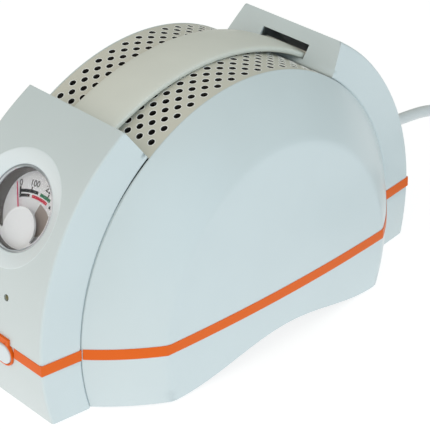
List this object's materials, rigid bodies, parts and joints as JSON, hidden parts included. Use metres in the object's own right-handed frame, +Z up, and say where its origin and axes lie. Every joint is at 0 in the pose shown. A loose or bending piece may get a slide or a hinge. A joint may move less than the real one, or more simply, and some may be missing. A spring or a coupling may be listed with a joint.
{
  "type": "automatic voltage regulator",
  "caption": "Arched plastic mains voltage regulator with a dial voltmeter, indicator lamps, power button, accent stripe, perforated top, carry strap and coiled mains lead.",
  "frame": {"origin": "on the surface the feet stand on, at the middle of the case without its lead", "axes": "+Z up, +Y towards the rear with the outlet and the lead, +X across the case; the meter faces -Y and upwards"},
  "size_m": [0.2249, 0.4078, 0.1437],
  "materials": {
    "case_plastic": "satin",
    "cover_metal": "satin",
    "strap_plastic": "satin",
    "accent_orange": "satin",
    "bezel_plastic": "satin",
    "ring_chrome": "polished",
    "clear_window": "polished",
    "meter_black": "matte",
    "dial_card": "matte",
    "needle_red": "matte",
    "mask_white": "satin",
    "magnet_steel": "satin",
    "copper_wire": "satin",
    "button_white": "satin",
    "switch_black": "matte",
    "lamp_lens": "satin",
    "board_laminate": "satin",
    "socket_black": "satin",
    "spring_brass": "satin",
    "zinc_steel": "satin",
    "pan_steel": "satin",
    "foot_rubber": "matte",
    "insulating_rubber": "matte",
    "core_iron": "matte",
    "wrapped_winding": "satin",
    "relay_case": "satin",
    "capacitor_sleeve": "satin",
    "terminal_plastic": "satin",
    "lead_pvc": "satin"
  },
  "bodies": {
    "housing": {"front_cowl": "case_plastic", "rear_cowl": "case_plastic", "front_cowl_stripe": "accent_orange", "rear_cowl_stripe": "accent_orange", "right_cheek": "case_plastic", "left_cheek": "case_plastic", "right_cheek_stripe": "accent_orange", "left_cheek_stripe": "accent_orange", "perforated_cover": "cover_metal", "meter_dish": "bezel_plastic", "meter_ring": "ring_chrome", "meter_glass": "clear_window", "meter_case": "meter_black", "meter_dial": "dial_card", "meter_mask": "mask_white", "meter_magnet": "magnet_steel", "switch_surround": "accent_orange", "power_switch": "switch_black", "indicator_lamps": "lamp_lens", "indicator_board": "board_laminate", "outlet": "socket_black", "outlet_earth_clips": "spring_brass", "breaker_body": "switch_black", "breaker_nut": "zinc_steel", "strain_relief": "lead_pvc", "base_pan": "pan_steel", "rubber_feet": "foot_rubber", "foot_screws": "zinc_steel", "case_screws": "zinc_steel", "transformer_pads": "insulating_rubber", "transformer_winding": "wrapped_winding", "transformer_core": "core_iron", "clamp_disc": "zinc_steel", "clamp_bolt": "zinc_steel", "control_board": "board_laminate", "board_standoffs": "zinc_steel", "relays": "relay_case", "capacitors": "capacitor_sleeve", "terminal_block": "terminal_plastic", "mains_cord": "lead_pvc", "mains_cord_tail": "lead_pvc", "mains_cord_coil": "lead_pvc", "cord_tie": "foot_rubber", "plug_body": "lead_pvc", "plug_pins": "zinc_steel", "plug_earth_strips": "spring_brass"},
    "needle": {"meter_needle": "needle_red", "meter_coil": "copper_wire"},
    "button": {"power_button": "button_white"},
    "breaker_reset": {"breaker_button": "switch_black"},
    "strap": {"carry_strap": "strap_plastic", "strap_stops": "strap_plastic"}
  },
  "joints": [
    {"name": "needle_pivot", "type": "hinge", "parent": "housing", "child": "needle", "pos_m": [0, -0.11742, 0.08272], "axis": [0, 0.8526, -0.5225], "range_deg": [0, 63], "stiffness_Nm_per_rad": 0.0002},
    {"name": "button_press", "type": "slide", "parent": "housing", "child": "button", "axis": [0, 1, 0], "range_m": [0, 0.0025], "stiffness_N_per_m": 400},
    {"name": "breaker_press", "type": "slide", "parent": "housing", "child": "breaker_reset", "axis": [0, -0.9796, -0.201], "range_m": [0, 0.002], "stiffness_N_per_m": 500},
    {"name": "strap_lift", "type": "slide", "parent": "housing", "child": "strap", "axis": [0, 0, 1], "range_m": [0, 0.0038]}
  ]
}
